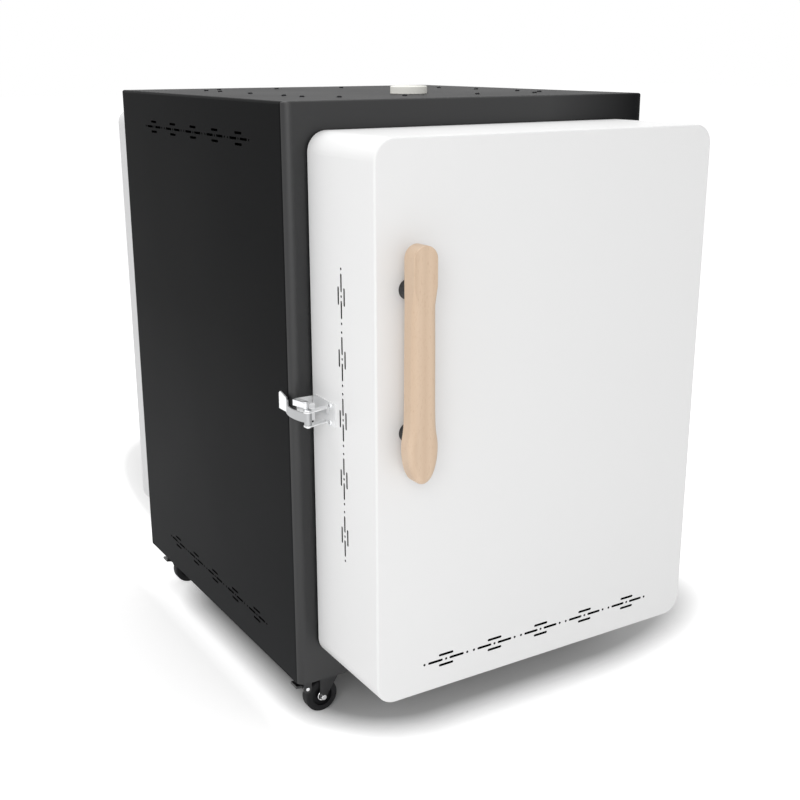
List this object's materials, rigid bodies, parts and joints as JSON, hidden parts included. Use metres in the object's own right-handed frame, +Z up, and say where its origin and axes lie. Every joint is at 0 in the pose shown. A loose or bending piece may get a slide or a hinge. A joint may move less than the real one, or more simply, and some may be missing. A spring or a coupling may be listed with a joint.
{
  "type": "electric kiln",
  "caption": "Front-loading electric kiln on braked swivel casters: dark sheet cabinet, deep white hinged door, wooden pull handle, draw latch, roof vent plug and a rear wiring cover.",
  "frame": {"origin": "on the floor under the middle of the cabinet box", "axes": "+X towards the hinge side of the door, +Y from the door towards the back of the kiln, +Z up"},
  "size_m": [0.697, 1.0274, 0.991],
  "materials": {
    "cabinet_paint": "satin powder coat, anthracite",
    "door_paint": "satin powder coat, white",
    "cover_paint": "satin powder coat, light grey white",
    "firebrick": "porous insulating firebrick",
    "fibre_board": "pressed mineral fibre board",
    "gasket_fibre": "woven fibre tape",
    "element_wire": "oxidised resistance wire",
    "plug_ceramic": "fired, unglazed, cream",
    "zinc_steel": "zinc plated",
    "blackened_steel": "blackened screws",
    "bright_steel": "polished",
    "black_plastic": "fine textured, black",
    "button_plastic": "smooth, dark grey",
    "grey_plastic": "matte, grey",
    "display_lens": "glossy, dark",
    "beech": "beech, sanded and waxed",
    "caster_black": "black",
    "wheel_rubber": "matte, dark grey"
  },
  "bodies": {
    "cabinet": {"cabinet_jacket": "cabinet_paint", "top_panel": "cabinet_paint", "base_pan": "cabinet_paint", "rear_panel": "cabinet_paint", "rear_cover": "cover_paint", "case_fasteners": "blackened_steel", "cable_gland": "black_plastic", "floor_bricks": "firebrick", "roof_bricks": "firebrick", "side_wall_bricks": "firebrick", "back_wall_bricks": "firebrick", "fibre_backing": "fibre_board", "heating_elements": "element_wire", "element_bushes": "plug_ceramic", "thermocouple": "plug_ceramic", "contactor": "grey_plastic", "terminal_block": "grey_plastic", "controller_housing": "black_plastic", "controller_display": "display_lens", "door_switch": "black_plastic", "cabinet_hinge_leaves": "zinc_steel", "hinge_pins": "zinc_steel", "latch_keeper": "zinc_steel", "caster_plates": "zinc_steel"},
    "door": {"door_shell": "door_paint", "door_back_frame": "door_paint", "door_bricks": "firebrick", "door_backing": "fibre_board", "door_gasket": "gasket_fibre", "door_hinge_leaves": "zinc_steel", "handle_grip": "beech", "handle_spacers": "black_plastic", "door_screws": "zinc_steel", "latch_base": "zinc_steel"},
    "latch_lever": {"latch_lever": "zinc_steel", "latch_crank_pin": "zinc_steel"},
    "latch_claw": {"latch_claw": "zinc_steel"},
    "vent_plug": {"vent_plug": "plug_ceramic"},
    "button_menu": {"button_menu": "button_plastic"},
    "button_down": {"button_down": "button_plastic"},
    "button_up": {"button_up": "button_plastic"},
    "button_start": {"button_start": "button_plastic"},
    "power_rocker": {"power_rocker": "button_plastic"},
    "front_left_fork": {"front_left_fork": "caster_black", "front_left_axle": "bright_steel"},
    "front_left_wheel": {"front_left_wheel": "wheel_rubber"},
    "front_left_brake_pedal": {"front_left_brake_pedal": "caster_black"},
    "front_right_fork": {"front_right_fork": "caster_black", "front_right_axle": "bright_steel"},
    "front_right_wheel": {"front_right_wheel": "wheel_rubber"},
    "front_right_brake_pedal": {"front_right_brake_pedal": "caster_black"},
    "rear_left_fork": {"rear_left_fork": "caster_black", "rear_left_axle": "bright_steel"},
    "rear_left_wheel": {"rear_left_wheel": "wheel_rubber"},
    "rear_left_brake_pedal": {"rear_left_brake_pedal": "caster_black"},
    "rear_right_fork": {"rear_right_fork": "caster_black", "rear_right_axle": "bright_steel"},
    "rear_right_wheel": {"rear_right_wheel": "wheel_rubber"},
    "rear_right_brake_pedal": {"rear_right_brake_pedal": "caster_black"}
  },
  "joints": [
    {"name": "door_hinge", "type": "hinge", "parent": "cabinet", "child": "door", "pos_m": [0.311, -0.354, 0.533], "axis": [0, 0, 1], "range_deg": [0, 120]},
    {"name": "latch_lever_hinge", "type": "hinge", "parent": "door", "child": "latch_lever", "pos_m": [-0.331, -0.387, 0.538], "axis": [0, 0, 1], "range_deg": [0, 180]},
    {"name": "latch_claw_hinge", "type": "hinge", "parent": "latch_lever", "child": "latch_claw", "pos_m": [-0.33152, -0.38102, 0.556], "axis": [0, 0, 1], "range_deg": [-208.3, 0]},
    {"name": "vent_plug_lift", "type": "slide", "parent": "cabinet", "child": "vent_plug", "axis": [0, 0, 1], "range_m": [0, 0.09]},
    {"name": "button_menu_press", "type": "slide", "parent": "cabinet", "child": "button_menu", "axis": [-1, 0, 0], "range_m": [0, 0.001], "stiffness_N_per_m": 400},
    {"name": "button_down_press", "type": "slide", "parent": "cabinet", "child": "button_down", "axis": [-1, 0, 0], "range_m": [0, 0.001], "stiffness_N_per_m": 400},
    {"name": "button_up_press", "type": "slide", "parent": "cabinet", "child": "button_up", "axis": [-1, 0, 0], "range_m": [0, 0.001], "stiffness_N_per_m": 400},
    {"name": "button_start_press", "type": "slide", "parent": "cabinet", "child": "button_start", "axis": [-1, 0, 0], "range_m": [0, 0.001], "stiffness_N_per_m": 400},
    {"name": "power_rocker_tilt", "type": "hinge", "parent": "cabinet", "child": "power_rocker", "pos_m": [0.3505, -0.15, 0.734], "axis": [0, 1, 0], "range_deg": [0, 20]},
    {"name": "front_left_swivel", "type": "hinge", "parent": "cabinet", "child": "front_left_fork", "pos_m": [-0.254, -0.291, 0.064], "axis": [0, 0, 1], "continuous": true},
    {"name": "front_left_wheel_spin", "type": "hinge", "parent": "front_left_fork", "child": "front_left_wheel", "pos_m": [-0.274, -0.291, 0.028], "axis": [0, 1, 0], "continuous": true},
    {"name": "front_left_brake", "type": "hinge", "parent": "front_left_fork", "child": "front_left_brake_pedal", "pos_m": [-0.302, -0.291, 0.05], "axis": [0, -1, 0], "range_deg": [0, 25]},
    {"name": "front_right_swivel", "type": "hinge", "parent": "cabinet", "child": "front_right_fork", "pos_m": [0.254, -0.291, 0.064], "axis": [0, 0, 1], "continuous": true},
    {"name": "front_right_wheel_spin", "type": "hinge", "parent": "front_right_fork", "child": "front_right_wheel", "pos_m": [0.274, -0.291, 0.028], "axis": [0, 1, 0], "continuous": true},
    {"name": "front_right_brake", "type": "hinge", "parent": "front_right_fork", "child": "front_right_brake_pedal", "pos_m": [0.302, -0.291, 0.05], "axis": [0, 1, 0], "range_deg": [0, 25]},
    {"name": "rear_left_swivel", "type": "hinge", "parent": "cabinet", "child": "rear_left_fork", "pos_m": [-0.254, 0.291, 0.064], "axis": [0, 0, 1], "continuous": true},
    {"name": "rear_left_wheel_spin", "type": "hinge", "parent": "rear_left_fork", "child": "rear_left_wheel", "pos_m": [-0.274, 0.291, 0.028], "axis": [0, 1, 0], "continuous": true},
    {"name": "rear_left_brake", "type": "hinge", "parent": "rear_left_fork", "child": "rear_left_brake_pedal", "pos_m": [-0.302, 0.291, 0.05], "axis": [0, -1, 0], "range_deg": [0, 25]},
    {"name": "rear_right_swivel", "type": "hinge", "parent": "cabinet", "child": "rear_right_fork", "pos_m": [0.254, 0.291, 0.064], "axis": [0, 0, 1], "continuous": true},
    {"name": "rear_right_wheel_spin", "type": "hinge", "parent": "rear_right_fork", "child": "rear_right_wheel", "pos_m": [0.274, 0.291, 0.028], "axis": [0, 1, 0], "continuous": true},
    {"name": "rear_right_brake", "type": "hinge", "parent": "rear_right_fork", "child": "rear_right_brake_pedal", "pos_m": [0.302, 0.291, 0.05], "axis": [0, 1, 0], "range_deg": [0, 25]}
  ],
  "couplings": [
    {"joint": "latch_claw_hinge", "follows": "latch_lever_hinge", "ratio": -1.1572}
  ]
}
